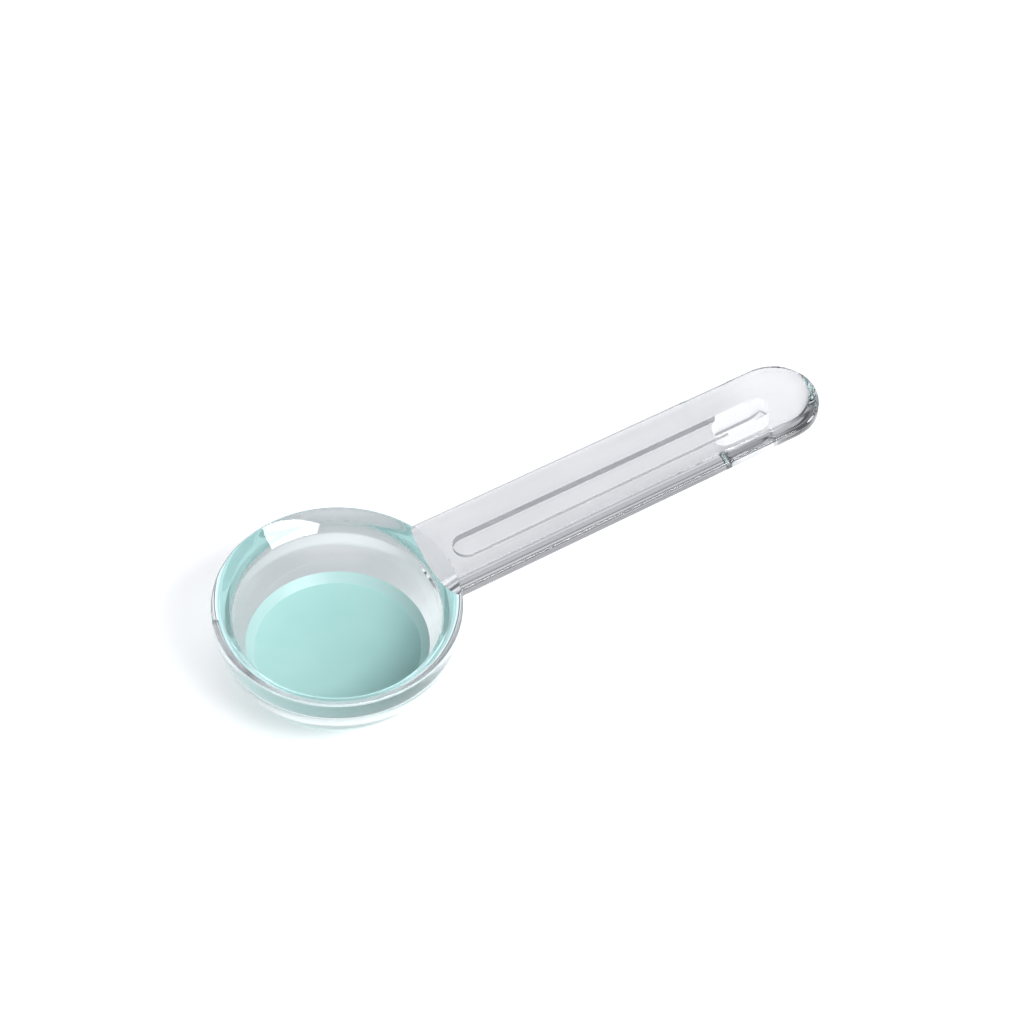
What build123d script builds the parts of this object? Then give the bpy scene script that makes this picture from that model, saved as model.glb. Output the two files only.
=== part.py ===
from build123d import *
import math
import os

# Clear hand-held sampling scoop: a thick half-ball cup with a bevelled lip and a wall that is
# upright and then turns in at a soft knee, a teal dished sight disc held in its floor by a
# bevelled ring, and a flat-topped clear handle with a thumb channel and a hanging slot.
# Millimetres, +Z up, the handle runs along +X and the cup's foot stands on Z = 0 with the
# cup's axis on the Z axis.

# Cup
CUP_RADIUS = 25.0
FOOT_RADIUS = 8.0
LIP_INNER_RADIUS = 20.75
LIP_DROP = 3.25
WALL_KNEE_DROP = 6.7
WALL_KNEE_ROUND = 3.5
WALL_BOTTOM_RADIUS = 18.3
WALL_BOTTOM_DROP = 12.45
POCKET_STEP_DROP = 14.2
POCKET_FLOOR_DROP = 19.6

# Sight disc and the ring that holds it
DISC_RADIUS = 16.6
DISC_EDGE_DROP = 14.0
DISC_DISH_DEPTH = 3.4
DISC_SHOULDER_DROP = 14.9

# Handle
HANDLE_ROOT_X = 20.0
HANDLE_END_X = 101.3
HANDLE_ROOT_HALF_WIDTH = 9.73
HANDLE_END_HALF_WIDTH = 9.13
HANDLE_EDGE_HEIGHT = 1.85
HANDLE_EDGE_ROUND = 0.7
HANDLE_THICKNESS = 7.2

# Thumb channel in the top of the handle
CHANNEL_START_X = 27.0
CHANNEL_START_HALF_WIDTH = 2.75
CHANNEL_END_HALF_WIDTH = 2.5
CHANNEL_DEPTH = 1.6

# Hanging slot through the handle
SLOT_START_X = 87.2
SLOT_END_X = 99.8
SLOT_HALF_WIDTH = 2.6

RIM_Z = math.sqrt(CUP_RADIUS**2 - FOOT_RADIUS**2)
POCKET_RADIUS = math.hypot(WALL_BOTTOM_RADIUS, POCKET_STEP_DROP)
POCKET_FLOOR_RADIUS = math.sqrt(POCKET_RADIUS**2 - POCKET_FLOOR_DROP**2)
SHOULDER_RADIUS = math.sqrt(POCKET_RADIUS**2 - DISC_SHOULDER_DROP**2)


def on_axis_plane(radius, drop):
    """Point at a radius from the cup's axis and a drop below the lip."""
    return (radius, RIM_Z - drop)


def arc_about_centre(radius, start, end):
    """Arc of a circle about the centre of the half-ball between two of its points."""
    start_angle = math.atan2(start[1] - RIM_Z, start[0])
    end_angle = math.atan2(end[1] - RIM_Z, end[0])
    middle_angle = (start_angle + end_angle) / 2
    middle = (radius * math.cos(middle_angle), RIM_Z + radius * math.sin(middle_angle))
    return ThreePointArc(start, middle, end)


def turned(profile):
    """Solid of revolution about the cup's axis."""
    return revolve(Plane.XZ * make_face(profile), axis=Axis.Z)


def make_cup():
    foot_edge = (FOOT_RADIUS, 0.0)
    lip_edge = on_axis_plane(CUP_RADIUS, 0.0)
    lip_inner_edge = on_axis_plane(LIP_INNER_RADIUS, LIP_DROP)
    wall_knee = on_axis_plane(LIP_INNER_RADIUS, WALL_KNEE_DROP)
    wall_bottom = on_axis_plane(WALL_BOTTOM_RADIUS, WALL_BOTTOM_DROP)
    pocket_edge = on_axis_plane(WALL_BOTTOM_RADIUS, POCKET_STEP_DROP)
    pocket_floor_edge = on_axis_plane(POCKET_FLOOR_RADIUS, POCKET_FLOOR_DROP)
    profile = [
        Line((0.0, 0.0), foot_edge),
        arc_about_centre(CUP_RADIUS, foot_edge, lip_edge),
        Line(lip_edge, lip_inner_edge),
        FilletPolyline(lip_inner_edge, wall_knee, wall_bottom, radius=WALL_KNEE_ROUND),
        Line(wall_bottom, pocket_edge),
        arc_about_centre(POCKET_RADIUS, pocket_edge, pocket_floor_edge),
        Polyline(pocket_floor_edge, on_axis_plane(0.0, POCKET_FLOOR_DROP), (0.0, 0.0)),
    ]
    return turned(profile)


def make_ring():
    outer_edge = on_axis_plane(WALL_BOTTOM_RADIUS, POCKET_STEP_DROP)
    shoulder = on_axis_plane(SHOULDER_RADIUS, DISC_SHOULDER_DROP)
    profile = [
        Polyline(
            shoulder,
            on_axis_plane(DISC_RADIUS, DISC_SHOULDER_DROP),
            on_axis_plane(DISC_RADIUS, DISC_EDGE_DROP),
            on_axis_plane(WALL_BOTTOM_RADIUS, WALL_BOTTOM_DROP),
            outer_edge,
        ),
        arc_about_centre(POCKET_RADIUS, outer_edge, shoulder),
    ]
    return turned(profile)


def make_disc():
    dish_radius = (DISC_RADIUS**2 + DISC_DISH_DEPTH**2) / (2 * DISC_DISH_DEPTH)
    half_angle = math.asin(DISC_RADIUS / dish_radius) / 2
    dish_bottom = on_axis_plane(0.0, DISC_EDGE_DROP + DISC_DISH_DEPTH)
    dish_edge = on_axis_plane(DISC_RADIUS, DISC_EDGE_DROP)
    dish_middle = (
        dish_radius * math.sin(half_angle),
        dish_bottom[1] + dish_radius * (1 - math.cos(half_angle)),
    )
    shoulder = on_axis_plane(SHOULDER_RADIUS, DISC_SHOULDER_DROP)
    floor_edge = on_axis_plane(POCKET_FLOOR_RADIUS, POCKET_FLOOR_DROP)
    profile = [
        ThreePointArc(dish_bottom, dish_middle, dish_edge),
        Polyline(dish_edge, on_axis_plane(DISC_RADIUS, DISC_SHOULDER_DROP), shoulder),
        arc_about_centre(POCKET_RADIUS, shoulder, floor_edge),
        Polyline(floor_edge, on_axis_plane(0.0, POCKET_FLOOR_DROP), dish_bottom),
    ]
    return turned(profile)


def handle_half_section(half_width):
    """Edges of one half of the handle's section, from the top centre to the bottom centre."""
    crown = HANDLE_THICKNESS - HANDLE_EDGE_HEIGHT
    crown_radius = (half_width**2 + crown**2) / (2 * crown)
    half_angle = math.asin(half_width / crown_radius) / 2
    crown_middle = (
        crown_radius * math.sin(half_angle),
        RIM_Z - HANDLE_THICKNESS + crown_radius * (1 - math.cos(half_angle)),
    )
    round_start = (half_width - HANDLE_EDGE_ROUND, RIM_Z)
    round_end = (half_width, RIM_Z - HANDLE_EDGE_ROUND)
    edge_bottom = (half_width, RIM_Z - HANDLE_EDGE_HEIGHT)
    return [
        Line((0.0, RIM_Z), round_start),
        TangentArc(round_start, round_end, tangent=(1, 0)),
        Line(round_end, edge_bottom),
        ThreePointArc(edge_bottom, crown_middle, (0.0, RIM_Z - HANDLE_THICKNESS)),
    ]


def handle_section(half_width, along):
    """Full section of the handle, square to its length."""
    centre_line = Line((0.0, RIM_Z - HANDLE_THICKNESS), (0.0, RIM_Z))
    half = make_face(handle_half_section(half_width) + [centre_line])
    whole = half + mirror(half, about=Plane.YZ)
    return Plane.YZ.offset(along) * whole


def rounded_cutter(start_x, start_half_width, end_x, end_half_width, depth):
    """Cutter that goes down from above the handle, round at both ends."""
    outline = make_hull(
        (
            Pos(start_x + start_half_width, 0) * Circle(start_half_width)
            + Pos(end_x - end_half_width, 0) * Circle(end_half_width)
        ).edges()
    )
    return extrude(Plane.XY.offset(RIM_Z - depth) * outline, amount=depth + CUP_RADIUS)


def make_handle():
    bar = loft(
        [
            handle_section(HANDLE_ROOT_HALF_WIDTH, HANDLE_ROOT_X),
            handle_section(HANDLE_END_HALF_WIDTH, HANDLE_END_X),
        ],
        ruled=True,
    )
    end_axis = Line((0.0, RIM_Z - HANDLE_THICKNESS), (0.0, RIM_Z))
    end_face = make_face(handle_half_section(HANDLE_END_HALF_WIDTH) + [end_axis])
    round_end = Pos(HANDLE_END_X, 0, 0) * revolve(Plane.XZ * end_face, axis=Axis.Z)
    handle = bar + round_end
    handle -= Pos(0, 0, RIM_Z) * Sphere(CUP_RADIUS)
    handle -= rounded_cutter(
        CHANNEL_START_X,
        CHANNEL_START_HALF_WIDTH,
        SLOT_START_X + 2 * CHANNEL_END_HALF_WIDTH,
        CHANNEL_END_HALF_WIDTH,
        CHANNEL_DEPTH,
    )
    handle -= rounded_cutter(
        SLOT_START_X,
        SLOT_HALF_WIDTH,
        SLOT_END_X,
        SLOT_HALF_WIDTH,
        2 * HANDLE_THICKNESS,
    )
    return handle


pieces = {
    "cup_body": make_cup(),
    "sight_disc": make_disc(),
    "disc_ring": make_ring(),
    "handle": make_handle(),
}

os.makedirs("parts", exist_ok=True)
for name, piece in pieces.items():
    export_step(piece, f"parts/{name}.step")
    print(name, round(piece.volume, 1), piece.bounding_box().size)
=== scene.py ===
import bmesh
import bpy
import math
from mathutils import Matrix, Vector


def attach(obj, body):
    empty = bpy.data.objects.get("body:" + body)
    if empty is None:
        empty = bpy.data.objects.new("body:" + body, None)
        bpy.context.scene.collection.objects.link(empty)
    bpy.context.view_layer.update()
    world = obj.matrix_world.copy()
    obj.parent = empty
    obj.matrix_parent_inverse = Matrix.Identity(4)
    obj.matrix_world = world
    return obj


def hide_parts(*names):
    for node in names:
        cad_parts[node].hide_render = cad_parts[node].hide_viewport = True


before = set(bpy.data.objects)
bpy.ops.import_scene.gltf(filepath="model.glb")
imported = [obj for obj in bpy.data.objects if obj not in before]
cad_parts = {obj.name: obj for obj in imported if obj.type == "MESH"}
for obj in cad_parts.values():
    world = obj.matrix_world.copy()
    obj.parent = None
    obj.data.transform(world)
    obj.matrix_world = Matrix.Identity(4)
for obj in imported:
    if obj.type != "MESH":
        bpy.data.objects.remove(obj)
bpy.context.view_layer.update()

# A clear hand-held sampling scoop in metres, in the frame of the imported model. The cup and the
# handle are one optical body, as a bonded or moulded joint is: each is an open shell, and the two
# shells share one edge. The teal disc and its ring fill the opening in the cup's floor.

scene = bpy.context.scene

MM = 0.001
CUP_RADIUS = 25.0
FOOT_RADIUS = 8.0
RIM_Z = math.sqrt(CUP_RADIUS**2 - FOOT_RADIUS**2)
LIP_OUTER_ROUND = 0.2
LIP_INNER_ROUND = 0.5
MOUTH_RADIUS = 20.75
LIP_INNER = (MOUTH_RADIUS, RIM_Z - 3.25)
WALL_KNEE = (MOUTH_RADIUS, RIM_Z - 6.7)
WALL_KNEE_ROUND = 3.5
RING_RADIUS = 18.3
RING_DROP = 14.2
WALL_BOTTOM = (RING_RADIUS, RIM_Z - 12.45)
RING_OUTER_BOTTOM = (RING_RADIUS, RIM_Z - RING_DROP)
RING_GAP = 0.01
POCKET_RADIUS = math.hypot(RING_RADIUS, RING_DROP)
POCKET_FLOOR_Z = RIM_Z - 19.6
DISC_RADIUS = 16.6
DISC_EDGE_Z = RIM_Z - 14.0
DISC_DISH_DEPTH = 3.4
SHOULDER_Z = RIM_Z - 14.9

# the handle's root: the ball that its sunk end lies on and how far that end stays below the rim,
# the ball of the section near the cup's surface, and the x from which the sections are flat
HANDLE_SUNK_RADIUS = 24.0
HANDLE_SUNK_DROP = 2.6
HANDLE_MEETING_RADIUS = 24.93
HANDLE_STRAIGHT_X = 25.6
HANDLE_ROOT_X = 20.0
HANDLE_END_X = 101.3
HANDLE_ROOT_HALF_WIDTH = 9.73
HANDLE_END_HALF_WIDTH = 9.13
HANDLE_THICKNESS = 7.2
HANDLE_EDGE_HEIGHT = 1.85
HANDLE_EDGE_ROUND = 0.7
CHANNEL_START_X = 27.0
CHANNEL_START_HALF_WIDTH = 2.75
CHANNEL_END_HALF_WIDTH = 2.5
CHANNEL_DEPTH = 1.6
CHANNEL_FLOOR_ROUND = 0.25
SLOT_START_X = 87.2
SLOT_END_X = 99.8
SLOT_HALF_WIDTH = 2.6
CUT_DEPTH = 20.0

# the view: the handle's bearing in it, its elevation, its width at the rim, and how far the rim's
# centre stands to the left of its middle and below it
HANDLE_BEARING = math.radians(31.0)
ELEVATION = math.radians(51.3)
VIEW_WIDTH = 202.37
RIM_TO_LEFT = 34.585
RIM_BELOW = 18.32
CAMERA_DISTANCE = 3000.0
SENSOR_WIDTH = 36.0
KEY_TARGET = (30.0, 0.0, 20.0)
FLOOR_REACH = 4000.0


# ---------------------------------------------------------------- mesh helpers

def new_object(name, mesh):
    obj = bpy.data.objects.new(name, mesh)
    scene.collection.objects.link(obj)
    return obj


def mesh_object(name, points, faces, material):
    """Mesh from points in millimetres. A closed one has its faces turned outward."""
    mesh = bpy.data.meshes.new(name)
    mesh.from_pydata([Vector(p) * MM for p in points], [], faces)
    work = bmesh.new()
    work.from_mesh(mesh)
    bmesh.ops.remove_doubles(work, verts=work.verts, dist=1e-8)
    bmesh.ops.recalc_face_normals(work, faces=work.faces)
    if work.calc_volume(signed=True) < 0:
        bmesh.ops.reverse_faces(work, faces=work.faces)
    work.to_mesh(mesh)
    work.free()
    mesh.materials.append(material)
    return new_object(name, mesh)


def arc(centre, radius, start, end, steps):
    """Points of an arc, from one angle to another, both ends included."""
    points = []
    for i in range(steps + 1):
        angle = start + (end - start) * i / steps
        points.append((centre[0] + radius * math.cos(angle), centre[1] + radius * math.sin(angle)))
    return points


def rounded_corner(before, corner, after, radius, steps=6):
    """Points of the arc that rounds a corner of a profile."""
    corner = Vector(corner)
    towards_before = (Vector(before) - corner).normalized()
    towards_after = (Vector(after) - corner).normalized()
    half_angle = towards_before.angle(towards_after) / 2
    centre = corner + (towards_before + towards_after).normalized() * radius / math.sin(half_angle)
    first = corner + towards_before * radius / math.tan(half_angle) - centre
    last = corner + towards_after * radius / math.tan(half_angle) - centre
    start = math.atan2(first.y, first.x)
    turn = math.atan2(first.x * last.y - first.y * last.x, first.dot(last))
    return arc(centre, radius, start, start + turn, steps)


def revolved(name, profile, material, steps=256, closed=False):
    """Surface of revolution of a profile of (radius, z) about the cup's axis."""
    count = len(profile)
    points, faces = [], []
    for i in range(steps):
        angle = 2 * math.pi * i / steps
        points += [(r * math.cos(angle), r * math.sin(angle), z) for r, z in profile]
    for i in range(steps):
        j = (i + 1) % steps
        for k in range(count if closed else count - 1):
            m = (k + 1) % count
            on_axis = (profile[k][0] == 0.0, profile[m][0] == 0.0)
            if all(on_axis):
                continue
            quad = [i * count + k, j * count + k, j * count + m, i * count + m]
            if on_axis[0]:
                quad.pop(1)
            if on_axis[1]:
                quad.pop(2)
            faces.append(quad)
    return mesh_object(name, points, faces, material)


def boolean(target, tool, operation):
    """Applies an exact boolean and removes the tool."""
    modifier = target.modifiers.new("boolean", "BOOLEAN")
    modifier.operation = operation
    modifier.object = tool
    modifier.solver = "EXACT"
    modifier.material_mode = "TRANSFER"
    graph = bpy.context.evaluated_depsgraph_get()
    result = bpy.data.meshes.new_from_object(target.evaluated_get(graph))
    target.modifiers.clear()
    target.data = result
    bpy.data.objects.remove(tool)


def heal(obj):
    """Merges the points a boolean leaves a hair apart, so that no crack or sliver stays."""
    work = bmesh.new()
    work.from_mesh(obj.data)
    bmesh.ops.remove_doubles(work, verts=work.verts, dist=2e-6)
    bmesh.ops.dissolve_degenerate(work, edges=work.edges, dist=1e-6)
    work.to_mesh(obj.data)
    work.free()


def shade(obj, degrees=28):
    """Smooth shading with sharp edges where the surface really turns."""
    work = bmesh.new()
    work.from_mesh(obj.data)
    for face in work.faces:
        face.smooth = True
    limit = math.radians(degrees)
    for edge in work.edges:
        edge.smooth = len(edge.link_faces) == 2 and edge.calc_face_angle(0.0) < limit
    work.to_mesh(obj.data)
    work.free()


# ---------------------------------------------------------------- materials

def map_range(tree, value, low, high, to_low, to_high):
    """Smooth step of a value from one range to another."""
    node = tree.nodes.new("ShaderNodeMapRange")
    node.interpolation_type = "SMOOTHSTEP"
    for socket, number in (
        ("From Min", low), ("From Max", high), ("To Min", to_low), ("To Max", to_high)
    ):
        node.inputs[socket].default_value = number
    tree.links.new(value, node.inputs["Value"])
    return node.outputs["Result"]


class Nodes:
    """A material's node tree, with short calls for the nodes the finishes use."""

    def __init__(self, name):
        self.material = bpy.data.materials.new(name)
        self.material.use_nodes = True
        self.tree = self.material.node_tree
        self.shader = self.tree.nodes["Principled BSDF"]
        self.position = self.tree.nodes.new("ShaderNodeTexCoord").outputs["Object"]

    def link(self, source, target):
        self.tree.links.new(source, target)

    def noise(self, scale, detail=3.0, roughness=0.5):
        node = self.tree.nodes.new("ShaderNodeTexNoise")
        node.inputs["Scale"].default_value = scale
        node.inputs["Detail"].default_value = detail
        node.inputs["Roughness"].default_value = roughness
        self.link(self.position, node.inputs["Vector"])
        return node.outputs["Fac"]

    def remap(self, value, *ranges):
        return map_range(self.tree, value, *ranges)

    def ramp(self, value, stops):
        node = self.tree.nodes.new("ShaderNodeValToRGB")
        elements = node.color_ramp.elements
        while len(elements) < len(stops):
            elements.new(1.0)
        for element, (place, colour) in zip(elements, stops):
            element.position = place
            element.color = (*colour, 1.0)
        self.link(value, node.inputs["Fac"])
        return node.outputs["Color"]

    def bump(self, height, strength, distance):
        node = self.tree.nodes.new("ShaderNodeBump")
        node.inputs["Strength"].default_value = strength
        node.inputs["Distance"].default_value = distance
        self.link(height, node.inputs["Height"])
        self.link(node.outputs["Normal"], self.shader.inputs["Normal"])

    def set(self, **values):
        for name, value in values.items():
            self.shader.inputs[name.replace("_", " ")].default_value = value


def clear_acrylic(name, pale, deep):
    """Polished clear acrylic: a grey tint, uneven at random, whose grey is painted shade that dims
    what is seen through; faint moulding waves, fine handling haze.
    """
    nodes = Nodes(name)
    nodes.set(IOR=1.49)
    nodes.shader.inputs["Transmission Weight"].default_value = 1.0
    tint_and_painted_shade = nodes.ramp(nodes.noise(45.0, 2.0), [(0.3, pale), (0.7, deep)])
    nodes.link(tint_and_painted_shade, nodes.shader.inputs["Base Color"])
    haze = nodes.remap(nodes.noise(900.0, 4.0, 0.65), 0.45, 0.8, 0.0, 0.05)
    nodes.link(haze, nodes.shader.inputs["Roughness"])
    nodes.bump(nodes.noise(60.0, 1.0, 0.4), 0.12, 0.0002)
    return nodes.material


def tinted_resin_and_painted_light(name, light, dark, transmission, roughness, ior=1.49, painted_glow=0.0):
    """See-through resin with a soft body: light enters it and spreads a little. With a dark colour
    it is painted shade. A face that is bonded to the clear cup has no optical step to cross, so
    there the index is 1, and a faint emission there is painted glow that lifts faces which look
    dark inside."""
    nodes = Nodes(name)
    nodes.set(IOR=ior, Emission_Color=(*light, 1.0), Emission_Strength=painted_glow)
    nodes.shader.inputs["Transmission Weight"].default_value = transmission
    colour = nodes.ramp(nodes.noise(70.0, 3.0), [(0.3, light), (0.7, dark)])
    nodes.link(colour, nodes.shader.inputs["Base Color"])
    rough = nodes.remap(nodes.noise(500.0, 3.0), 0.3, 0.7, roughness - 0.04, roughness + 0.05)
    nodes.link(rough, nodes.shader.inputs["Roughness"])
    nodes.bump(nodes.noise(300.0, 2.0), 0.15, 0.0001)
    return nodes.material


# The grey of these tints is painted shade: it dims the floor and sky seen through the clear
# plastic.
cup_clear = clear_acrylic("cup clear acrylic", (0.68, 0.705, 0.715), (0.65, 0.675, 0.685))
handle_clear = clear_acrylic("handle clear acrylic", (0.71, 0.715, 0.725), (0.68, 0.685, 0.695))
# Painted shade: a dark tint on the channel and slot walls stands in for the dark lines their clear
# edges show.
cut_wall_painted_shade = tinted_resin_and_painted_light("handle cut walls", (0.24, 0.24, 0.26), (0.20, 0.20, 0.22), 0.38, 0.2)
disc_face = tinted_resin_and_painted_light("teal disc face", (0.38, 0.63, 0.60), (0.33, 0.59, 0.56), 0.12, 0.45)
# The bonded faces carry painted glow: a faint emission that lifts the teal seen from inside the
# plastic.
disc_bond = tinted_resin_and_painted_light(
    "teal disc bonded", (0.80, 0.93, 0.93), (0.77, 0.91, 0.91), 0.97, 0.1, ior=1.0, painted_glow=0.12
)
ring_face = tinted_resin_and_painted_light("pale teal ring face", (0.45, 0.66, 0.64), (0.41, 0.63, 0.61), 0.2, 0.35)
ring_bond = tinted_resin_and_painted_light(
    "pale teal ring bonded", (0.84, 0.94, 0.94), (0.81, 0.92, 0.92), 0.97, 0.1, ior=1.0, painted_glow=0.12
)


# ---------------------------------------------------------------- cup, ring and disc

def cup_profile():
    """Foot, outer half-ball, lip bevel and inner wall, down to the ring's outer edge."""
    lip_edge = (CUP_RADIUS, RIM_Z)
    foot_angle = math.atan2(-RIM_Z, FOOT_RADIUS)
    profile = [(FOOT_RADIUS * i / 5, 0.0) for i in range(5)]
    profile += arc((0.0, RIM_Z), CUP_RADIUS, foot_angle, -0.02, 110)
    profile += rounded_corner(profile[-1], lip_edge, LIP_INNER, LIP_OUTER_ROUND)
    profile += rounded_corner(lip_edge, LIP_INNER, WALL_KNEE, LIP_INNER_ROUND)
    profile += rounded_corner(LIP_INNER, WALL_KNEE, WALL_BOTTOM, WALL_KNEE_ROUND, 16)
    return profile + [WALL_BOTTOM]


def disc_profile():
    """Closed profile of the dished disc: dish, shoulder, rounded side and flat underside."""
    dish_radius = (DISC_RADIUS**2 + DISC_DISH_DEPTH**2) / (2 * DISC_DISH_DEPTH)
    half_angle = math.asin(DISC_RADIUS / dish_radius)
    centre = (0.0, DISC_EDGE_Z - DISC_DISH_DEPTH + dish_radius)
    dish = arc(centre, dish_radius, -math.pi / 2, -math.pi / 2 + half_angle, 40)
    dish[0] = (0.0, dish[0][1])
    start = -math.asin((RIM_Z - SHOULDER_Z) / POCKET_RADIUS)
    end = -math.asin((RIM_Z - POCKET_FLOOR_Z) / POCKET_RADIUS)
    side = arc((0.0, RIM_Z), POCKET_RADIUS, start, end, 10)
    return dish + [(DISC_RADIUS, SHOULDER_Z)] + side + [(0.0, POCKET_FLOOR_Z)]


def ring_profile():
    """Closed profile of the ring: bevelled face, flat shoulder seat and rounded outer side."""
    start = -math.asin((RIM_Z - RING_OUTER_BOTTOM[1]) / POCKET_RADIUS)
    end = -math.asin((RIM_Z - SHOULDER_Z) / POCKET_RADIUS)
    side = arc((0.0, RIM_Z), POCKET_RADIUS, start, end, 4)
    inner_radius = DISC_RADIUS + RING_GAP
    seat_z = SHOULDER_Z + RING_GAP
    top = [(inner_radius, DISC_EDGE_Z), WALL_BOTTOM]
    return [(inner_radius, seat_z)] + top + side[:-1] + [(side[-1][0], seat_z)]


def bond_hidden_faces(obj, material, inner, outer):
    """Gives the bonded material to the faces that aren't on the exposed surface. inner and outer
    are (radius, z) of that surface's two edges."""
    obj.data.materials.append(material)
    for face in obj.data.polygons:
        radius = math.hypot(face.center.x, face.center.y)
        exposed = inner[0] - 1e-6 < radius < outer[0] + 1e-6 and face.normal.z > 0.1
        face.material_index = 0 if exposed and face.center.z > inner[1] - 1e-6 else 1


# ---------------------------------------------------------------- handle

def half_section(half_width):
    """Right half of the handle's section: flat top, rounded edge, short side, crowned underside."""
    crown = HANDLE_THICKNESS - HANDLE_EDGE_HEIGHT
    crown_radius = (half_width**2 + crown**2) / (2 * crown)
    crown_centre = (0.0, RIM_Z - HANDLE_THICKNESS + crown_radius)
    edge_angle = math.atan2(RIM_Z - HANDLE_EDGE_HEIGHT - crown_centre[1], half_width)
    round_centre = (half_width - HANDLE_EDGE_ROUND, RIM_Z - HANDLE_EDGE_ROUND)
    top = [(round_centre[0] * i / 8, RIM_Z) for i in range(8)]
    edge = arc(round_centre, HANDLE_EDGE_ROUND, math.pi / 2, 0.0, 8)
    underside = arc(crown_centre, crown_radius, edge_angle, -math.pi / 2, 30)
    underside[-1] = (0.0, underside[-1][1])
    return top + edge + underside


def full_section(half_width):
    half = half_section(half_width)
    return half + [(-y, z) for y, z in half[-2:0:-1]]


def half_width_at(x):
    share = (x - HANDLE_ROOT_X) / (HANDLE_END_X - HANDLE_ROOT_X)
    return HANDLE_ROOT_HALF_WIDTH + (HANDLE_END_HALF_WIDTH - HANDLE_ROOT_HALF_WIDTH) * share


def on_ball(radius, y, z):
    return math.sqrt(radius**2 - y**2 - (z - RIM_Z) ** 2)


def handle_solid(material):
    """Closed handle. Its root is sunk a little into the cup, and the joining removes that."""
    root = full_section(half_width_at(HANDLE_SUNK_RADIUS))
    count = len(root)
    sunk = [(y, min(z, RIM_Z - HANDLE_SUNK_DROP)) for y, z in root]
    sections = [
        [(on_ball(HANDLE_SUNK_RADIUS, y, z), y, z) for y, z in sunk],
        [(on_ball(HANDLE_MEETING_RADIUS, y, z), y, z) for y, z in root],
    ]
    steps = 24
    for i in range(steps + 1):
        x = HANDLE_STRAIGHT_X + (HANDLE_END_X - HANDLE_STRAIGHT_X) * i / steps
        sections.append([(x, y, z) for y, z in full_section(half_width_at(x))])
    points = [point for section in sections for point in section]
    faces = [list(range(count))]
    for i in range(len(sections) - 1):
        for j in range(count):
            k = (j + 1) % count
            faces.append([i * count + j, (i + 1) * count + j, (i + 1) * count + k, i * count + k])
    # the round end turns the half section about an upright axis
    half = half_section(HANDLE_END_HALF_WIDTH)
    base = (len(sections) - 1) * count
    turns = 48
    index = {}
    for t in range(turns + 1):
        angle = math.pi / 2 - math.pi * t / turns
        for q, (r, z) in enumerate(half):
            if t == 0 or q in (0, len(half) - 1):
                index[t, q] = base + q
            elif t == turns:
                index[t, q] = base + count - q
            else:
                index[t, q] = len(points)
                points.append((HANDLE_END_X + r * math.cos(angle), r * math.sin(angle), z))
    for t in range(turns):
        for q in range(len(half) - 1):
            corners = [index[t, q], index[t, q + 1], index[t + 1, q + 1], index[t + 1, q]]
            faces.append(list(dict.fromkeys(corners)))
    return mesh_object("handle_solid", points, faces, material)


def cutter(start, end, bottom_z, floor_round, material):
    """Cutter with round ends, from bottom_z up. start and end are (centre x, half width)."""
    lean = math.asin((start[1] - end[1]) / (end[0] - start[0]))
    steps = 40

    def outline(inset):
        points = []
        for (x, radius), first, last in (
            (start, math.pi / 2 - lean, 3 * math.pi / 2 + lean),
            (end, lean - math.pi / 2, math.pi / 2 - lean),
        ):
            for i in range(steps + 1):
                angle = first + (last - first) * i / steps
                reach = radius - inset
                points.append((x + reach * math.cos(angle), reach * math.sin(angle)))
        return points

    levels = [(bottom_z, floor_round)]
    if floor_round:
        for i in range(1, 7):
            angle = math.pi / 2 * i / 6
            lift = floor_round * (1 - math.cos(angle))
            levels.append((bottom_z + lift, floor_round * (1 - math.sin(angle))))
    levels.append((RIM_Z + 5.0, 0.0))
    count = 2 * (steps + 1)
    points = [(x, y, z) for z, inset in levels for x, y in outline(inset)]
    faces = [list(range(count))[::-1], [(len(levels) - 1) * count + j for j in range(count)]]
    for i in range(len(levels) - 1):
        for j in range(count):
            k = (j + 1) % count
            faces.append([i * count + j, i * count + k, (i + 1) * count + k, (i + 1) * count + j])
    return mesh_object("cutter", points, faces, material)


def paint_shade_on_cut_walls(handle_piece):
    """Gives the walls of the handle's channel and slot a dark tint, painted shade for the dark
    lines along those edges.
    """
    margin = 0.3
    handle_piece.data.materials.append(cut_wall_painted_shade)
    for face in handle_piece.data.polygons:
        steep = abs(face.normal.z) < 0.9
        along, aside, height = face.center / MM
        near_top = height > RIM_Z - CHANNEL_DEPTH - margin
        in_cuts = CHANNEL_START_X - 0.5 < along < SLOT_END_X + 0.7
        if steep and near_top and in_cuts and abs(aside) < SLOT_HALF_WIDTH + margin:
            face.material_index = 1


def shell_of(joined, slot_index, name, material):
    """The faces of the joined body that came from one piece, as a piece of their own."""
    mesh = joined.data.copy()
    work = bmesh.new()
    work.from_mesh(mesh)
    lid_z = WALL_BOTTOM[1] * MM
    unwanted = []
    for face in work.faces:
        is_lid = all(abs(vert.co.z - lid_z) < 1e-7 for vert in face.verts)
        if face.material_index != slot_index or is_lid:
            unwanted.append(face)
    bmesh.ops.delete(work, geom=unwanted, context="FACES")
    for face in work.faces:
        face.material_index = 0
    work.to_mesh(mesh)
    work.free()
    mesh.materials.clear()
    mesh.materials.append(material)
    return new_object(name, mesh)


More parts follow.
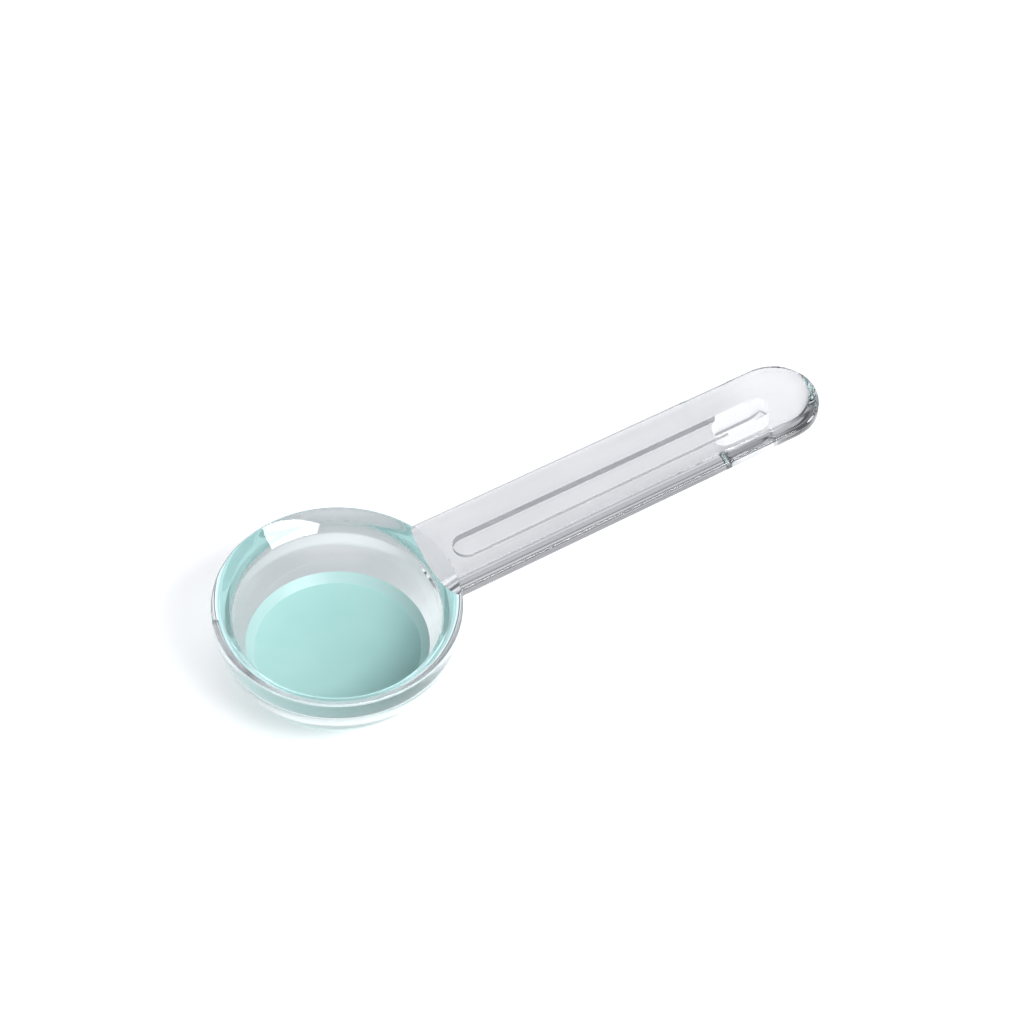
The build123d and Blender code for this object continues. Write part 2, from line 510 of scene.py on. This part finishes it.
def make_clear_body():
    """Cup and handle joined exactly, then parted again along the joint's one edge."""
    lidded = cup_profile() + [(0.0, WALL_BOTTOM[1])]
    cup = revolved("cup_solid", lidded, cup_clear)
    bar = handle_solid(handle_clear)
    channel_start = (CHANNEL_START_X + CHANNEL_START_HALF_WIDTH, CHANNEL_START_HALF_WIDTH)
    channel_end = (SLOT_START_X + SLOT_HALF_WIDTH, CHANNEL_END_HALF_WIDTH)
    channel_z = RIM_Z - CHANNEL_DEPTH
    channel = cutter(channel_start, channel_end, channel_z, CHANNEL_FLOOR_ROUND, handle_clear)
    slot_start = (SLOT_START_X + SLOT_HALF_WIDTH, SLOT_HALF_WIDTH)
    slot_end = (SLOT_END_X - SLOT_HALF_WIDTH, SLOT_HALF_WIDTH)
    slot = cutter(slot_start, slot_end, RIM_Z - CUT_DEPTH, 0.0, handle_clear)
    boolean(bar, channel, "DIFFERENCE")
    boolean(bar, slot, "DIFFERENCE")
    boolean(cup, bar, "UNION")
    heal(cup)
    handle_index = list(cup.data.materials).index(handle_clear)
    cup_piece = shell_of(cup, 1 - handle_index, "cup_body_clear", cup_clear)
    handle_piece = shell_of(cup, handle_index, "handle_clear", handle_clear)
    paint_shade_on_cut_walls(handle_piece)
    bpy.data.objects.remove(cup)
    return cup_piece, handle_piece


cup, handle = make_clear_body()
disc = revolved("sight_disc_teal", disc_profile(), disc_face, closed=True)
ring = revolved("disc_ring_teal", ring_profile(), ring_face, closed=True)
disc_edge = (DISC_RADIUS * MM, DISC_EDGE_Z * MM)
bond_hidden_faces(disc, disc_bond, (0.0, (DISC_EDGE_Z - DISC_DISH_DEPTH) * MM), disc_edge)
bond_hidden_faces(ring, ring_bond, disc_edge, (WALL_BOTTOM[0] * MM, WALL_BOTTOM[1] * MM))
shown = ((cup, "cup_body"), (handle, "handle"), (disc, "sight_disc"), (ring, "disc_ring"))
for piece, node in shown:
    shade(piece)
    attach(piece, "root")
    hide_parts(node)

# ---------------------------------------------------------------- floor, light and camera

floor_nodes = Nodes("pale floor")
floor_tone = floor_nodes.ramp(
    floor_nodes.noise(3.0, 2.0), [(0.3, (0.90, 0.90, 0.91)), (0.7, (0.92, 0.92, 0.92))]
)
floor_nodes.link(floor_tone, floor_nodes.shader.inputs["Base Color"])
floor_nodes.set(Roughness=0.9, Emission_Color=(1.0, 1.0, 1.0, 1.0), Emission_Strength=0.35)
corners = [(-1, -1), (1, -1), (1, 1), (-1, 1)]
floor = mesh_object(
    "floor",
    [(x * FLOOR_REACH, y * FLOOR_REACH, 0) for x, y in corners],
    [[0, 1, 2, 3]],
    floor_nodes.material,
)
floor.location.z = -0.0001

away = Vector((math.sin(HANDLE_BEARING), math.cos(HANDLE_BEARING), 0.0))
right = Vector((math.cos(HANDLE_BEARING), -math.sin(HANDLE_BEARING), 0.0))
up = Vector((0.0, 0.0, 1.0))


def studio_world():
    """Soft sky: bright at middle heights, dim low down and in a band higher up, with an overhead
    patch, less light from the left and a lift behind the object."""
    world = bpy.data.worlds.new("studio")
    scene.world = world
    world.use_nodes = True
    tree = world.node_tree
    background = tree.nodes["Background"]
    direction = tree.nodes.new("ShaderNodeTexCoord").outputs["Generated"]

    def towards(vector):
        node = tree.nodes.new("ShaderNodeVectorMath")
        node.operation = "DOT_PRODUCT"
        node.inputs[1].default_value = Vector(vector).normalized()
        tree.links.new(direction, node.inputs[0])
        return node.outputs["Value"]

    def remap(value, *ranges):
        return map_range(tree, value, *ranges)

    def combined(operation, first, second):
        node = tree.nodes.new("ShaderNodeMath")
        node.operation = operation
        tree.links.new(first, node.inputs[0])
        tree.links.new(second, node.inputs[1])
        return node.outputs["Value"]

    left_fall = remap(towards(-right + 0.2 * away), -0.5, 0.9, 1.0, 0.25)
    camera_side = remap(towards(-away + 0.6 * up), 0.2, 0.97, 0.75, 1.0)
    height = remap(towards(up), 0.05, 0.6, 0.12, 1.35)
    sides = combined("MULTIPLY", left_fall, camera_side)
    ceiling = remap(towards(up), 0.6, 0.78, 1.0, 0.25)
    overhead = remap(towards(up), 0.84, 0.90, 0.0, 0.5)
    behind = remap(towards(away), 0.3, 1.0, 0.0, 0.55)
    sky = combined("MULTIPLY", combined("MULTIPLY", sides, height), ceiling)
    sky = combined("ADD", combined("ADD", sky, behind), overhead)
    tree.links.new(sky, background.inputs["Strength"])
    background.inputs["Color"].default_value = (0.97, 0.99, 1.03, 1.0)


def softbox(name, direction, distance, size, power):
    light = bpy.data.lights.new(name, "AREA")
    light.shape = "RECTANGLE"
    light.size, light.size_y = size
    light.energy = power
    lamp = bpy.data.objects.new(name, light)
    scene.collection.objects.link(lamp)
    direction = direction.normalized()
    lamp.location = Vector(KEY_TARGET) * MM + direction * distance
    lamp.rotation_mode = "QUATERNION"
    lamp.rotation_quaternion = direction.to_track_quat("Z", "Y")
    return lamp


studio_world()
key = softbox("key softbox", 0.455 * right - 0.46 * away + 0.76 * up, 0.9, (0.54, 0.30), 7.5)
key.visible_transmission = False


def photo_camera():
    """Long lens, so that the view is nearly parallel, aimed so that the cup stands lower left."""
    camera_data = bpy.data.cameras.new("camera")
    camera = bpy.data.objects.new("camera", camera_data)
    scene.collection.objects.link(camera)
    back = -away * math.cos(ELEVATION) + up * math.sin(ELEVATION)
    camera_up = away * math.sin(ELEVATION) + up * math.cos(ELEVATION)
    camera_data.sensor_width = SENSOR_WIDTH
    camera_data.lens = SENSOR_WIDTH * CAMERA_DISTANCE / VIEW_WIDTH
    camera_data.clip_end = 50.0
    aim = Vector((0.0, 0.0, RIM_Z)) + right * RIM_TO_LEFT + camera_up * RIM_BELOW
    camera.location = (aim + back * CAMERA_DISTANCE) * MM
    camera.rotation_mode = "QUATERNION"
    camera.rotation_quaternion = (-back).to_track_quat("-Z", "Y")
    scene.camera = camera


photo_camera()
scene.view_settings.view_transform = "Standard"
scene.cycles.max_bounces = 24
scene.cycles.transmission_bounces = 24
scene.cycles.glossy_bounces = 16
